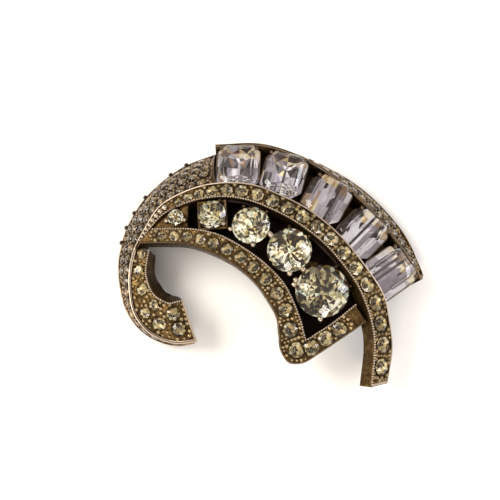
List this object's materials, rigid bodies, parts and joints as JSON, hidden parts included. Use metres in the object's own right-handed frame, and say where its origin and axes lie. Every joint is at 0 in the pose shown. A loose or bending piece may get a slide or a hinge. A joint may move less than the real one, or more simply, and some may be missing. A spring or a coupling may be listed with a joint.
{
  "type": "dress clip",
  "caption": "Curved hook-shaped dress clip: gold-tone casting with pavé bands, a fan of octagon stones and a window of graduated round stones, on a flat spring clip.",
  "frame": {"origin": "on the surface, under the middle of the clip's outline", "axes": "+X from the hook side to the octagon side, +Y from the tail to the far rim, +Z out of the face, away from the leaf it rests on"},
  "size_m": [0.0574, 0.0477, 0.0132],
  "materials": {
    "gold_metal": "satin, with dark tarnish in the hollows",
    "pale_stone": "polished, foil-backed",
    "clear_stone": "polished, foil-backed",
    "clip_metal": "satin"
  },
  "bodies": {
    "root": {"frame": "gold_metal", "round_stone_1": "pale_stone", "round_stone_2": "pale_stone", "round_stone_3": "pale_stone", "round_stone_4": "pale_stone", "round_stone_5": "pale_stone", "octagon_stone_1": "clear_stone", "octagon_stone_2": "clear_stone", "octagon_stone_3": "clear_stone", "octagon_stone_4": "clear_stone", "octagon_stone_5": "clear_stone", "crescent_stones": "pale_stone", "strip_stones": "pale_stone", "middle_band_stones": "pale_stone", "lower_band_stones": "pale_stone", "hook_stones": "pale_stone", "clip": "clip_metal"}
  },
  "joints": []
}
